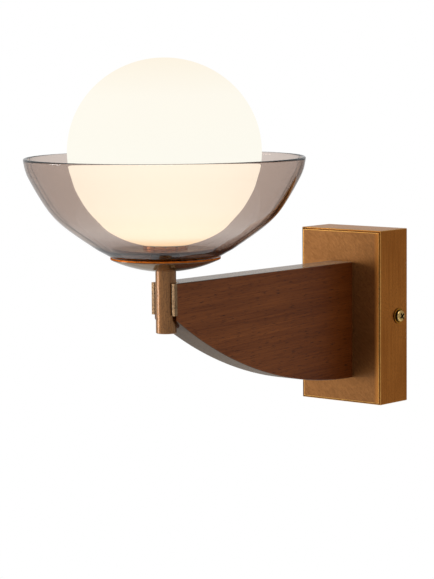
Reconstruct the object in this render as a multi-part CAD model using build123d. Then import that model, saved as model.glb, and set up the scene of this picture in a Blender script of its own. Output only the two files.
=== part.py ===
from build123d import *
import math
import os

os.makedirs("parts", exist_ok=True)

# Wall lamp: brass wall box, walnut arm, upright tube, saucer, smoked bowl and opal globe.
# Millimetres. The wall is the plane Y = 0, the lamp stands out along -Y, and +Z is up.
# The origin is the middle of the back of the wall box.

# Wall box
box_width = 67.0
box_height = 118.0
box_depth = 30.0
box_wall = 1.5
box_edge_bevel = 0.3
ledge_width = 3.0
ledge_thickness = 1.5
plate_thickness = 2.0
plate_gap = 0.25
plate_bevel = 0.5

# Wall bracket inside the box
bracket_thickness = 2.0
strap_width = 26.0
strap_height = 104.0
bar_height = 20.0
tab_depth = 17.0
tab_gap = 0.3
bend_radius = 1.2
slot_spacing = 83.3
slot_length = 12.0
slot_width = 5.0
cable_hole_radius = 8.0

# Screws in the sides of the box
side_screw_from_wall = 9.6
side_screw_radius = 2.0
side_screw_length = 8.0
side_head_radius = 4.0
side_head_height = 2.4
washer_radius = 5.3
washer_thickness = 0.8

# Earth screw on the bracket
ground_screw_drop = 20.0
ground_screw_radius = 2.0
ground_head_radius = 4.2
ground_head_height = 2.2

# Every screw drive is a cross of two slots
recess_width = 1.0
recess_share = 1.25
recess_depth = 1.3

# Plate and screws that pull the arm onto the box
backing_width = 44.0
backing_height = 86.0
backing_thickness = 3.0
arm_screw_radius = 2.4
arm_screw_bite = 35.0
arm_screw_point = 5.0
arm_head_radius = 4.6
arm_head_height = 3.0
arm_screw_spacing = 34.0

# Terminal block on the backing plate
block_width = 26.0
block_depth = 15.0
block_height = 17.0
terminal_pitch = 8.0
terminal_radius = 1.8
terminal_depth = 5.0

# Arm
arm_thickness = 19.0
arm_top = 37.0
arm_height = 79.0
arm_tip_height = 23.7
arm_edge_round = 0.8
stem_reach = 209.0
bore_radius = 4.0
bore_drop = 8.5

# Cradle on the tip of the arm
cradle_height = 20.2
cradle_front = 2.8
cradle_wall = 1.2
cradle_front_bevel = 0.6
cradle_screw_drop = 16.6
cradle_screw_radius = 1.6
cradle_screw_length = 16.0
cradle_screw_point = 4.0
cradle_head_radius = 3.0
cradle_head_height = 1.5

# Upright tube
stem_radius = 6.5
stem_wall = 1.2
stem_rise = 7.8
stem_drop = 31.6
stem_end_bevel = 0.4
plug_thickness = 3.0
bushing_length = 9.0
nipple_radius = 4.0
nipple_bore = 2.8
nipple_engagement = 8.0

# Lead inside the arm and the tube
lead_radius = 2.0
lead_bend = 5.0
lead_hole_radius = 3.0
lead_tail = 4.0

# Saucer
saucer_radius = 34.4
saucer_curve = 80.0
saucer_thickness = 1.4
saucer_flat = 10.0

# Bowl
bowl_radius = 87.6
bowl_height = 66.6
bowl_flat = 12.0
bowl_foot_thickness = 3.3
bowl_rim_thickness = 2.2
bowl_hole_clearance = 0.6
# Outer curve between the saucer's edge and the rim, as shares of the way out and of the way up
bowl_curve_shares = [
    (0.31, 0.170),
    (0.50, 0.292),
    (0.65, 0.413),
    (0.80, 0.597),
    (0.915, 0.775),
    (0.976, 0.897),
]
bowl_rim_lean = 11.0
bowl_inner_points = 14

# Washers, disc and nut that hold the bowl
gasket_margin = 0.8
lower_gasket_thickness = 2.4
upper_gasket_thickness = 1.4
spacer_radius = 7.0
disc_radius = 32.8
disc_thickness = 1.6
disc_edge_bevel = 0.4
lock_washer_radius = 6.8
lock_washer_thickness = 0.7
nut_across_flats = 13.0
nut_thickness = 4.0

# Slotted collar that carries the globe
gallery_radius = 13.8
gallery_floor = 1.0
gallery_height = 2.4
sleeve_wall = 1.0
sleeve_height = 7.4
sleeve_bead = 0.25
sleeve_bead_height = 2.0
slit_count = 12
slit_width = 0.7
slit_turn = 12.5
seat_thickness = 0.4

# Globe
globe_radius = 60.4
globe_half_height = 58.2
globe_wall = 3.0
globe_hole_radius = 12.0
globe_foot_radius = 14.5

# Lampholder and bulb
holder_radius = 9.4
holder_height = 20.6
holder_flats = 16.0
holder_socket_depth = 4.0
holder_edge_bevel = 0.8
pin_spacing = 9.0
pin_radius = 1.3
pin_length = 11.0
pin_root = 3.0
pin_hole_clearance = 0.5
pin_hole_spare = 2.0
bulb_base_radius = 7.0
bulb_base_height = 11.0
bulb_spigot_height = 4.0
bulb_radius = 6.5
bulb_height = 31.0
bulb_wall = 0.9

# Fits
hole_clearance = 0.25
thread_clearance = 0.1
press_clearance = 0.1
seat_clearance = 0.3

# Positions that follow from the sizes above
stem_y = -stem_reach
front_y = -box_depth
plate_back_y = front_y + plate_thickness
backing_back_y = plate_back_y + backing_thickness
arm_foot = arm_top - arm_height
arm_middle = arm_top - arm_height / 2
bore_z = arm_top - bore_drop
tip_foot = arm_top - arm_tip_height
cradle_foot = arm_top - cradle_height
trough_radius = stem_radius + seat_clearance
groove_radius = trough_radius + cradle_wall + seat_clearance
stem_top = arm_top + stem_rise
stem_foot = arm_top - stem_drop
stem_bore = stem_radius - stem_wall
nipple_hole = nipple_radius + thread_clearance
saucer_centre = stem_top + math.sqrt(saucer_curve**2 - saucer_flat**2)
saucer_bore_curve = saucer_curve - saucer_thickness
saucer_floor = stem_top + saucer_thickness
saucer_lip = saucer_centre - math.sqrt(saucer_bore_curve**2 - saucer_radius**2)
gasket_radius = saucer_flat - gasket_margin
bowl_foot = saucer_floor + lower_gasket_thickness
bowl_seat = saucer_lip + seat_clearance
bowl_rim = bowl_foot + bowl_height
bowl_floor = bowl_foot + bowl_foot_thickness
upper_gasket_top = bowl_floor + upper_gasket_thickness
disc_foot = bowl_seat + bowl_foot_thickness + seat_clearance
disc_top = disc_foot + disc_thickness
gallery_base = disc_top + gallery_floor
gallery_top = disc_top + gallery_height
sleeve_radius = globe_hole_radius - seat_clearance - sleeve_bead
sleeve_bore = sleeve_radius - sleeve_wall
sleeve_top = gallery_top + sleeve_height
nut_foot = gallery_base + lock_washer_thickness
nut_top = nut_foot + nut_thickness
holder_foot = nut_top + seat_clearance
holder_top = holder_foot + holder_height
nipple_top = holder_foot + holder_socket_depth / 2
globe_foot = gallery_top + seat_thickness + seat_clearance
globe_centre = globe_foot + globe_half_height * math.sqrt(1 - (globe_foot_radius / globe_radius) ** 2)
bulb_foot = holder_top + seat_clearance
bulb_shoulder = bulb_foot + bulb_base_height
tab_x = box_width / 2 - box_wall - tab_gap

ON_END = (Align.CENTER, Align.CENTER, Align.MIN)


def save(shape, name):
    """Write one piece to its own file."""
    export_step(shape, f"parts/{name}.step")


def block(width, depth, height, x, y, z):
    """Box of the given size about a centre point."""
    return Pos(x, y, z) * Box(width, depth, height)


def post(radius, foot, top):
    """Upright cylinder on the axis of the tube."""
    return Pos(0, stem_y, foot) * Cylinder(radius, top - foot, align=ON_END)


def ring(outer, inner, foot, top):
    """Upright hollow cylinder on the axis of the tube."""
    return post(outer, foot, top) - post(inner, foot, top)


def turned(face):
    """Revolve a half section, drawn as radius and height, about the axis of the tube."""
    return Pos(0, stem_y, 0) * revolve(Plane.XZ * face, Axis.Z)


def rod_along_y(radius, start, end, x, z):
    """Cylinder parallel to Y between two values of Y."""
    length = abs(end - start)
    return Pos(x, (start + end) / 2, z) * Rot(90, 0, 0) * Cylinder(radius, length)


def cross_recess(head_radius, head_top):
    """Two crossed slots sunk into the top of a screw head."""
    reach = head_radius * recess_share
    middle = head_top - recess_depth / 2
    one = block(reach, recess_width, recess_depth, 0, 0, middle)
    other = block(recess_width, reach, recess_depth, 0, 0, middle)
    return one + other


def machine_screw(radius, length, head_radius, head_height):
    """Screw with a domed head: the head stands above Z = 0 and the shank hangs below it."""
    head = Cylinder(head_radius, head_height, align=ON_END)
    head = fillet(head.edges().sort_by(Axis.Z)[-1], head_height * 0.8)
    shank = Pos(0, 0, -length) * Cylinder(radius, length, align=ON_END)
    return head + shank - cross_recess(head_radius, head_height)


def wood_screw(radius, length, point, head_radius, head_height):
    """Round-headed screw with a pointed end: head above Z = 0, shank below."""
    whole = machine_screw(radius, length - point, head_radius, head_height)
    tip = Pos(0, 0, -length) * Cone(radius * 0.15, radius, point, align=ON_END)
    return whole + tip


# Wall bracket: an upright strap, a level bar, and two tabs bent forward for the side screws
strap = block(strap_width, bracket_thickness, strap_height, 0, -bracket_thickness / 2, 0)
bar = block(2 * tab_x, bracket_thickness, bar_height, 0, -bracket_thickness / 2, 0)
wall_bracket = strap + bar
for side in (-1, 1):
    tab = block(
        bracket_thickness, tab_depth, bar_height, side * (tab_x - bracket_thickness / 2), -tab_depth / 2, 0
    )
    wall_bracket += tab
wall_edges = wall_bracket.edges().filter_by(Axis.Z).group_by(Axis.Y)[-1].sort_by(Axis.X)
wall_bracket = fillet([wall_edges[0], wall_edges[-1]], bend_radius)
for side in (-1, 1):
    slot = Plane.XZ * Pos(0, side * slot_spacing / 2) * SlotOverall(slot_length, slot_width, rotation=90)
    wall_bracket -= extrude(slot, amount=bracket_thickness * 2, both=True)
ground_hole_radius = ground_screw_radius + thread_clearance
wall_bracket -= rod_along_y(cable_hole_radius, -box_depth, box_depth, 0, 0)
wall_bracket -= rod_along_y(ground_hole_radius, -box_depth, box_depth, 0, -ground_screw_drop)
side_hole = Pos(0, -side_screw_from_wall, 0) * Rot(0, 90, 0)
wall_bracket -= side_hole * Cylinder(side_screw_radius + thread_clearance, box_width)
save(wall_bracket, "wall_bracket")

# Earth screw, with its shank through the strap
ground_screw = machine_screw(ground_screw_radius, bracket_thickness, ground_head_radius, ground_head_height)
save(Pos(0, -bracket_thickness, -ground_screw_drop) * Rot(90, 0, 0) * ground_screw, "ground_screw")

# Box shell: four walls, a ledge behind the front plate, and a hole in each side
inner_width = box_width - 2 * box_wall
inner_height = box_height - 2 * box_wall
cavity_depth = box_depth - plate_thickness - ledge_thickness
shell = block(box_width, box_depth, box_height, 0, -box_depth / 2, 0)
shell = chamfer(shell.edges().filter_by(Axis.Y), box_edge_bevel)
shell -= block(inner_width, plate_thickness, inner_height, 0, front_y + plate_thickness / 2, 0)
shell -= block(inner_width, cavity_depth, inner_height, 0, -cavity_depth / 2, 0)
shell -= block(inner_width - 2 * ledge_width, box_depth, inner_height - 2 * ledge_width, 0, -box_depth / 2, 0)
shell -= side_hole * Cylinder(side_screw_radius + hole_clearance, box_width * 2)
save(shell, "wall_box_shell")

# Side screws and their washers
for side, name in ((-1, "left"), (1, "right")):
    outward = Pos(side * box_width / 2, -side_screw_from_wall, 0) * Rot(0, side * 90, 0)
    washer = Cylinder(washer_radius, washer_thickness, align=ON_END)
    washer = chamfer(washer.edges().sort_by(Axis.Z)[-1], washer_thickness / 3)
    washer -= Cylinder(side_screw_radius + hole_clearance, washer_thickness * 3)
    save(outward * washer, f"box_washer_{name}")
    screw = machine_screw(side_screw_radius, side_screw_length, side_head_radius, side_head_height)
    save(outward * Pos(0, 0, washer_thickness) * screw, f"box_screw_{name}")

# Front plate, let in between the walls
plate_middle = (front_y + plate_back_y) / 2
front_plate = block(
    inner_width - 2 * plate_gap, plate_thickness, inner_height - 2 * plate_gap, 0, plate_middle, 0
)
front_plate = chamfer(front_plate.faces().sort_by(Axis.Y)[0].edges(), plate_bevel)

# Plate behind it, and the holes both share
backing_plate = block(
    backing_width, backing_thickness, backing_height, 0, (plate_back_y + backing_back_y) / 2, arm_middle
)
lower_screw_z = arm_middle - bore_drop - arm_screw_spacing / 2
arm_screw_heights = [lower_screw_z, lower_screw_z + arm_screw_spacing]
plate_holes = rod_along_y(bore_radius, 2 * front_y, 0, 0, bore_z)
for height in arm_screw_heights:
    plate_holes += rod_along_y(arm_screw_radius + hole_clearance, 2 * front_y, 0, 0, height)
save(front_plate - plate_holes, "front_plate")
save(backing_plate - plate_holes, "backing_plate")

# Wood screws through both plates into the arm
arm_screw_length = plate_thickness + backing_thickness + arm_screw_bite
for height, name in zip(arm_screw_heights, ("arm_screw_lower", "arm_screw_upper")):
    screw = wood_screw(arm_screw_radius, arm_screw_length, arm_screw_point, arm_head_radius, arm_head_height)
    save(Pos(0, backing_back_y, height) * Rot(-90, 0, 0) * screw, name)

# Terminal block: three clamping screw wells on top and three wells for wires on the wall side
terminal_block = block(block_width, block_depth, block_height, 0, backing_back_y + block_depth / 2, bore_z)
terminal_block = fillet(terminal_block.edges().filter_by(Axis.Z), bend_radius)
block_top = bore_z + block_height / 2
for step in (-1, 0, 1):
    well = Pos(step * terminal_pitch, backing_back_y + block_depth / 2, block_top - terminal_depth)
    terminal_block -= well * Cylinder(terminal_radius, terminal_depth, align=ON_END)
    wire_well_y = backing_back_y + block_depth
    terminal_block -= rod_along_y(
        terminal_radius, wire_well_y - terminal_depth, wire_well_y, step * terminal_pitch, bore_z
    )
lead_well_radius = lead_radius + seat_clearance
terminal_block -= rod_along_y(lead_well_radius, backing_back_y, backing_back_y + terminal_depth, 0, bore_z)
save(terminal_block, "terminal_block")

# Arm: level top, underside an arc that leaves the box level and climbs to the tip
butt_top = (front_y, arm_top)
butt_foot = (front_y, arm_foot)
tip_bottom = (stem_y, tip_foot)
outline = Polyline(butt_foot, butt_top, (stem_y, arm_top), tip_bottom)
underside = TangentArc(butt_foot, tip_bottom, tangent=(-1, 0))
arm = extrude(Plane.YZ * make_face([*outline.edges(), underside]), amount=arm_thickness / 2, both=True)
long_edges = [edge for edge in arm.edges() if abs(edge.center().X) > arm_thickness / 2 - 0.01]
long_edges = [edge for edge in long_edges if front_y - 1 > edge.center().Y > stem_y + 1]
arm = fillet(long_edges, arm_edge_round)
arm -= post(groove_radius, arm_foot, arm_top + 1)
arm -= rod_along_y(bore_radius, stem_y, front_y + 1, 0, bore_z)
pilot_end = front_y - arm_screw_bite - 1
for height in arm_screw_heights:
    arm -= rod_along_y(arm_screw_radius + thread_clearance, pilot_end, front_y + 1, 0, height)

# Cradle: two cheeks beside the tube, joined behind it by a half-round trough let into the arm
cradle_screw_z = arm_top - cradle_screw_drop
cradle_middle = cradle_foot + cradle_height / 2
cheeks = block(arm_thickness, cradle_front, cradle_height, 0, stem_y - cradle_front / 2, cradle_middle)
trough = post(trough_radius + cradle_wall, cradle_foot, arm_top)
front_half_y = stem_y - arm_thickness / 2
trough -= block(2 * arm_thickness, arm_thickness, 2 * cradle_height, 0, front_half_y, cradle_middle)
cradle = cheeks + trough
cradle -= post(trough_radius, cradle_foot - 1, arm_top + 1)
cheek_gap_y = stem_y - cradle_front
cradle -= block(2 * trough_radius, 2 * cradle_front, 2 * cradle_height, 0, cheek_gap_y, cradle_middle)
front_edges = cradle.faces().sort_by(Axis.Y)[0:2].edges().filter_by(Axis.Z)
inner_edges = [edge for edge in front_edges if abs(edge.center().X) < trough_radius + 0.01]
cradle = chamfer(inner_edges, cradle_front_bevel)
cradle -= rod_along_y(lead_hole_radius, stem_y, stem_y + arm_thickness, 0, bore_z)

# Countersunk screw from the trough into the arm, and the room it needs
screw_face_y = stem_y + trough_radius
cone_end_y = screw_face_y + cradle_head_height
point_start_y = screw_face_y + cradle_screw_length - cradle_screw_point


def countersunk_screw(spare):
    """Screw shape along +Y, grown all round by the spare amount."""
    head = Pos(0, screw_face_y, cradle_screw_z) * Rot(-90, 0, 0) * Cone(
        cradle_head_radius + spare, cradle_screw_radius + spare, cradle_head_height, align=ON_END
    )
    shank = rod_along_y(cradle_screw_radius + spare, cone_end_y, point_start_y, 0, cradle_screw_z)
    point = Pos(0, point_start_y, cradle_screw_z) * Rot(-90, 0, 0) * Cone(
        cradle_screw_radius + spare, cradle_screw_radius * 0.15 + spare, cradle_screw_point, align=ON_END
    )
    return head + shank + point


screw_room = countersunk_screw(thread_clearance)
head_room = rod_along_y(cradle_head_radius + thread_clearance, stem_y, screw_face_y, 0, cradle_screw_z)
drive = Pos(0, screw_face_y, cradle_screw_z) * Rot(90, 0, 0) * cross_recess(cradle_head_radius, 0)
save(arm - screw_room, "arm")
save(cradle - screw_room - head_room, "stem_cradle")
save(countersunk_screw(0) - drive, "cradle_screw")

# Upright tube, with a side hole for the lead, a plug below and a threaded bush above
stem = ring(stem_radius, stem_bore, stem_foot, stem_top)
foot_edges = stem.edges().group_by(Axis.Z)[0].sort_by(SortBy.RADIUS)
stem = chamfer(foot_edges[-1], stem_end_bevel)
stem -= rod_along_y(lead_hole_radius, stem_y, stem_y + 2 * stem_radius, 0, bore_z)
save(stem, "stem_tube")
save(post(stem_bore - press_clearance, stem_foot, stem_foot + plug_thickness), "stem_plug")
bushing_foot = stem_top - bushing_length
save(ring(stem_bore - press_clearance, nipple_hole, bushing_foot, stem_top), "stem_bushing")
save(ring(nipple_radius, nipple_bore, stem_top - nipple_engagement, nipple_top), "threaded_nipple")

# Lead from the terminal block, along the bore and up the tube to the lampholder
lead_start = (0, backing_back_y + lead_tail, bore_z)
turn_start = (0, stem_y + lead_bend, bore_z)
turn_end = (0, stem_y, bore_z + lead_bend)
level_run = Line(lead_start, turn_start)
turn = TangentArc(turn_start, turn_end, tangent=(0, -1, 0))
upright_run = Line(turn_end, (0, stem_y, nipple_top))
lead_path = Wire([level_run, turn, upright_run])
lead_section = Plane(origin=lead_start, z_dir=(0, -1, 0)) * Circle(lead_radius)
save(sweep(lead_section, path=lead_path), "lamp_lead")


def sphere_height(curve, radius):
    """Height at a radius on the underside of a sphere about the saucer's centre."""
    return saucer_centre - math.sqrt(curve**2 - radius**2)


# Saucer: flat in the middle, then part of a sphere, with its edge cut upright
middle_radius = (saucer_flat + saucer_radius) / 2
lower_middle = (middle_radius, sphere_height(saucer_curve, middle_radius))
upper_middle = (middle_radius, sphere_height(saucer_bore_curve, middle_radius))
lower_edge = (saucer_radius, sphere_height(saucer_curve, saucer_radius))
upper_edge = (saucer_radius, saucer_lip)
floor_edge = (math.sqrt(saucer_bore_curve**2 - (saucer_centre - saucer_floor) ** 2), saucer_floor)
saucer_section = [
    Line((nipple_hole, stem_top), (saucer_flat, stem_top)),
    ThreePointArc((saucer_flat, stem_top), lower_middle, lower_edge),
    Line(lower_edge, upper_edge),
    ThreePointArc(upper_edge, upper_middle, floor_edge),
    Line(floor_edge, (nipple_hole, saucer_floor)),
    Line((nipple_hole, saucer_floor), (nipple_hole, stem_top)),
]
save(turned(make_face(saucer_section)), "saucer")

# Bowl: the wall thins from the foot to a rounded rim
rim_round = bowl_rim_thickness / 2
outer_end = bowl_rim - rim_round
lean = math.radians(bowl_rim_lean)
outer_points = [(bowl_flat, bowl_foot), (saucer_radius, bowl_seat)]
for share_out, share_up in bowl_curve_shares:
    outer_points.append(
        (
            saucer_radius + share_out * (bowl_radius - saucer_radius),
            bowl_seat + share_up * (outer_end - bowl_seat),
        )
    )
outer_points.append((bowl_radius, outer_end))
outer_wall = Spline(*outer_points, tangents=[(1, 0), (math.sin(lean), math.cos(lean))])
inner_points = []
for step in range(bowl_inner_points + 1):
    share = step / bowl_inner_points
    point = outer_wall @ share
    heading = outer_wall % share
    thickness = bowl_foot_thickness + share * (bowl_rim_thickness - bowl_foot_thickness)
    inner_points.append((point.X - heading.Y * thickness, point.Y + heading.X * thickness))
inner_wall = Spline(*inner_points, tangents=[(1, 0), (math.sin(lean), math.cos(lean))])
outer_rim = outer_wall @ 1
inner_rim = inner_wall @ 1
rim_top = (
    (outer_rim.X + inner_rim.X) / 2 + rim_round * math.sin(lean),
    (outer_rim.Y + inner_rim.Y) / 2 + rim_round * math.cos(lean),
)
bowl_hole = nipple_radius + bowl_hole_clearance
bowl_section = [
    Line((bowl_hole, bowl_foot), (bowl_flat, bowl_foot)),
    outer_wall,
    ThreePointArc(outer_rim, rim_top, inner_rim),
    inner_wall,
    Line((bowl_flat, bowl_floor), (bowl_hole, bowl_floor)),
    Line((bowl_hole, bowl_floor), (bowl_hole, bowl_foot)),
]
save(turned(make_face(bowl_section)), "bowl")

# Soft washers on both sides of the glass, and the spacer up to the disc
save(ring(gasket_radius, nipple_hole, saucer_floor, bowl_foot), "lower_gasket")
save(ring(gasket_radius, nipple_hole, bowl_floor, upper_gasket_top), "upper_gasket")
save(ring(spacer_radius, nipple_hole, upper_gasket_top, disc_foot), "disc_spacer")

# Clamp disc inside the bowl
clamp_disc = chamfer(post(disc_radius, disc_foot, disc_top).edges(), disc_edge_bevel)
save(clamp_disc - post(nipple_hole, disc_foot - 1, disc_top + 1), "clamp_disc")

# Slotted collar: a floor, a shoulder for the globe, and a sleeve of spring fingers that ends in a bead
bead_top = sleeve_top - sleeve_bead_height / 2
gallery_outline = Polyline(
    (nipple_hole, disc_top),
    (gallery_radius, disc_top),
    (gallery_radius, gallery_top),
    (sleeve_radius, gallery_top),
    (sleeve_radius, sleeve_top - sleeve_bead_height),
    (sleeve_radius + sleeve_bead, bead_top),
    (sleeve_radius, sleeve_top),
    (sleeve_bore, sleeve_top),
    (sleeve_bore, gallery_base),
    (nipple_hole, gallery_base),
    close=True,
)
gallery = turned(make_face(gallery_outline))
slit_reach = gallery_radius - sleeve_bore + 2
for place in PolarLocations(sleeve_bore - 1 + slit_reach / 2, slit_count, start_angle=slit_turn):
    slit = Box(slit_reach, slit_width, sleeve_top - gallery_base + 1, align=ON_END)
    gallery -= Pos(0, stem_y, gallery_base) * place * slit
save(gallery, "globe_gallery")

# Soft ring on the shoulder
seat_bore = sleeve_radius + seat_clearance
save(ring(gallery_radius, seat_bore, gallery_top, gallery_top + seat_thickness), "seat_gasket")

# Lock washer and nut inside the collar
save(ring(lock_washer_radius, nipple_hole, gallery_base, nut_foot), "lock_washer")
nut = extrude(RegularPolygon(nut_across_flats / 2, 6, major_radius=False), amount=nut_thickness)
save(Pos(0, stem_y, nut_foot) * nut - post(nipple_hole, nut_foot - 1, nut_top + 1), "clamp_nut")

# Lampholder: a ceramic body with two flats, screwed on the end of the nipple
holder = post(holder_radius, holder_foot, holder_top)
holder = chamfer(holder.edges().group_by(Axis.Z)[-1], holder_edge_bevel)
holder &= block(2 * holder_radius, holder_flats, 4 * holder_height, 0, stem_y, holder_top)
holder -= post(nipple_hole, holder_foot - 1, holder_foot + holder_socket_depth)
pin_foot = bulb_foot - pin_length
for side in (-1, 1):
    pin_hole = post(pin_radius + pin_hole_clearance, pin_foot - pin_hole_spare, holder_top + 1)
    holder -= Pos(side * pin_spacing / 2, 0, 0) * pin_hole
save(holder, "lampholder")

# Bulb: base with a spigot, two pins and a round-ended capsule
bulb_base = post(bulb_base_radius, bulb_foot, bulb_shoulder)
spigot_radius = bulb_radius - bulb_wall - press_clearance
bulb_base += post(spigot_radius, bulb_shoulder, bulb_shoulder + bulb_spigot_height)
pins = []
for side in (-1, 1):
    sideways = Pos(side * pin_spacing / 2, 0, 0)
    bulb_base -= sideways * post(pin_radius + press_clearance, bulb_foot - 1, bulb_foot + pin_root)
    pin = post(pin_radius, pin_foot, bulb_foot + pin_root)
    pin = fillet(pin.edges().group_by(Axis.Z)[0], pin_radius * 0.8)
    pins.append(sideways * pin)
save(bulb_base, "bulb_base")
save(Compound(children=pins), "bulb_pins")


def round_ended(radius, foot, length):
    """Upright cylinder with a half-sphere on top."""
    dome_centre = foot + length - radius
    return post(radius, foot, dome_centre) + Pos(0, stem_y, dome_centre) * Sphere(radius)


capsule = round_ended(bulb_radius, bulb_shoulder, bulb_height)
capsule -= round_ended(bulb_radius - bulb_wall, bulb_shoulder, bulb_height - bulb_wall)
save(capsule, "bulb_capsule")


def flattened_ball(radius, half_height):
    """Ball about the globe's centre, flattened to the given half height."""
    return Pos(0, stem_y, globe_centre) * scale(Sphere(radius), by=(1, 1, half_height / radius))


# Globe: slightly flattened, with a ground flat and a hole at the bottom
globe = flattened_ball(globe_radius, globe_half_height)
globe -= flattened_ball(globe_radius - globe_wall, globe_half_height - globe_wall)
globe -= post(globe_radius, globe_foot - globe_radius, globe_foot)
globe -= post(globe_hole_radius, globe_foot - 1, globe_centre)
save(globe, "globe")
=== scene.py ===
"""Looks of a wall lamp in aged brass, walnut, smoked glass and lit opal glass.

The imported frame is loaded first. Each piece made here takes the place of a node of that frame, and the
other nodes keep their shape and get a finish. Sizes are millimetres in the classes and metres in the meshes.
"""

import logging
import math
from dataclasses import dataclass
from enum import Enum
from functools import cache
from typing import Callable, Iterable, Sequence

import bmesh
import bpy
import numpy
from bmesh.types import BMEdge, BMFace, BMVert
from bpy.types import Material, Node, NodeSocket, Object, World
from mathutils import Color, Euler, Matrix, Vector
from mathutils.geometry import interpolate_bezier


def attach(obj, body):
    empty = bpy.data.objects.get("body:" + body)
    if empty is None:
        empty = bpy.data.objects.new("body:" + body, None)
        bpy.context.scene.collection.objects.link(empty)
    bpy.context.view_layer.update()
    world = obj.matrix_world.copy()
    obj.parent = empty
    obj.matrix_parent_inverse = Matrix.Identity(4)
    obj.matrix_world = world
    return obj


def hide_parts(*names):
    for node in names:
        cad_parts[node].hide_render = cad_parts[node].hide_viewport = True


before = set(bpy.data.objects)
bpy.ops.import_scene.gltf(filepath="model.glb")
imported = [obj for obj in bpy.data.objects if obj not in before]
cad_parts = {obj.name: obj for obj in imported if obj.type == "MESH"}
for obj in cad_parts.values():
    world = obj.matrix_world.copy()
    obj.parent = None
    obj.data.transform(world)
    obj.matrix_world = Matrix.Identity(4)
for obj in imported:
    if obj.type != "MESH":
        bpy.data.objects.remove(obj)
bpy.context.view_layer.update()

Pair = tuple[float, float]
Triple = tuple[float, float, float]
Colour = tuple[float, float, float, float]
Stops = Sequence[tuple[float, Colour]]

# A millimetre in metres, and where the upright tube stands along Y, in millimetres.
MM = 0.001
STEM_Y = -209.0

FRONT = Vector((0.0, -1.0, 0.0))
BACK = Vector((0.0, 1.0, 0.0))
UPWARD = Vector((0.0, 0.0, 1.0))
ACROSS = Vector((1.0, 0.0, 0.0))

# A colour that changes nothing, the colour of brass seen at a slant, and the brightest part of a tone.
CLEAR = (1.0, 1.0, 1.0, 1.0)
EDGE_TINT = (0.95, 0.74, 0.48, 1.0)
FULL_TONE = 255

# Noise seldom leaves this span.
NOISE_LOW = 0.3
NOISE_HIGH = 0.7

# A Mix node repeats the names of its sockets for each kind of data, so those for colours go by number.
MIX_SHARE = 0
MIX_FIRST = 6
MIX_SECOND = 7
MIX_RESULT = 2

# Tolerances in millimetres, and how far a cutting form stands out of what it cuts.
MERGED = 0.0005
FLUSH = 0.001
OVERCUT = 1.0

# A face looks straight at an aim above the first cosine, and is upright below the second.
FACING = 0.99
UPRIGHT = 0.1

log = logging.getLogger("wall_lamp")


class Body(Enum):
    """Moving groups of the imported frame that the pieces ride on."""

    LAMP = "lamp_body"
    GLOBE = "globe"


class Slot(Enum):
    """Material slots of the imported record."""

    AGED_BRASS = "aged_brass"
    WALNUT = "walnut"
    SMOKED_GLASS = "smoked_glass"
    OPAL_GLASS = "opal_glass"


class Side(Enum):
    """Sides of the wall box, as the sign of X."""

    LEFT = -1
    RIGHT = 1


class Blend(Enum):
    """Ways to mix two colours."""

    MIX = "MIX"
    MULTIPLY = "MULTIPLY"


class Operation(Enum):
    """Ways to combine two values."""

    ADD = "ADD"
    SUBTRACT = "SUBTRACT"
    MULTIPLY = "MULTIPLY"
    MAXIMUM = "MAXIMUM"


def tone(red: int, green: int, blue: int) -> Colour:
    """Turn a colour of a picture, 0 to 255, into the linear colour of a socket."""
    shares = [part / FULL_TONE for part in (red, green, blue)]
    return (*Color(shares).from_srgb_to_scene_linear(), 1.0)


def grey(level: float) -> Colour:
    """Give a grey of a linear level."""
    return (level, level, level, 1.0)


class Graph:
    """Nodes of a material or of the surroundings."""

    def __init__(self, owner: Material | World) -> None:
        """Turn on the nodes of their owner."""
        owner.use_nodes = True
        self.tree = owner.node_tree

    def add(self, kind: str) -> Node:
        """Add a node of a kind."""
        return self.tree.nodes.new(kind)

    def give(self, target: NodeSocket, value: NodeSocket | Iterable[float] | float) -> None:
        """Lead a value to a socket, or set it there where it is constant.

        Args:
            target: the socket.
            value: output of another node, or a constant.
        """
        if isinstance(value, NodeSocket):
            self.tree.links.new(value, target)
        else:
            target.default_value = value

    def spread(
        self,
        source: NodeSocket,
        low: float,
        high: NodeSocket | float,
        start: float = NOISE_LOW,
        end: float = NOISE_HIGH,
    ) -> NodeSocket:
        """Stretch a value from one span to another.

        Args:
            source: the value.
            low: result at the start of its span.
            high: result at the end of its span.
            start: where its span starts.
            end: where its span ends.

        Returns:
            The stretched value, held between the two results.
        """
        node = self.add("ShaderNodeMapRange")
        values = {"Value": source, "From Min": start, "From Max": end, "To Min": low, "To Max": high}
        for name, value in values.items():
            self.give(node.inputs[name], value)
        return node.outputs["Result"]

    def join(self, way: Operation, first: NodeSocket, second: NodeSocket) -> NodeSocket:
        """Combine two values.

        Args:
            way: how they are combined.
            first: the first value.
            second: the second value.

        Returns:
            The combined value.
        """
        node = self.add("ShaderNodeMath")
        node.operation = way.value
        self.give(node.inputs[0], first)
        self.give(node.inputs[1], second)
        return node.outputs["Value"]

    def nearness(self, way: NodeSocket, aim: Triple) -> NodeSocket:
        """Measure how nearly a direction points at an aim.

        Args:
            way: the direction.
            aim: the aim.

        Returns:
            The cosine of the angle between them.
        """
        node = self.add("ShaderNodeVectorMath")
        node.operation = "DOT_PRODUCT"
        self.give(node.inputs[0], way)
        self.give(node.inputs[1], Vector(aim).normalized())
        return node.outputs["Value"]


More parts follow.
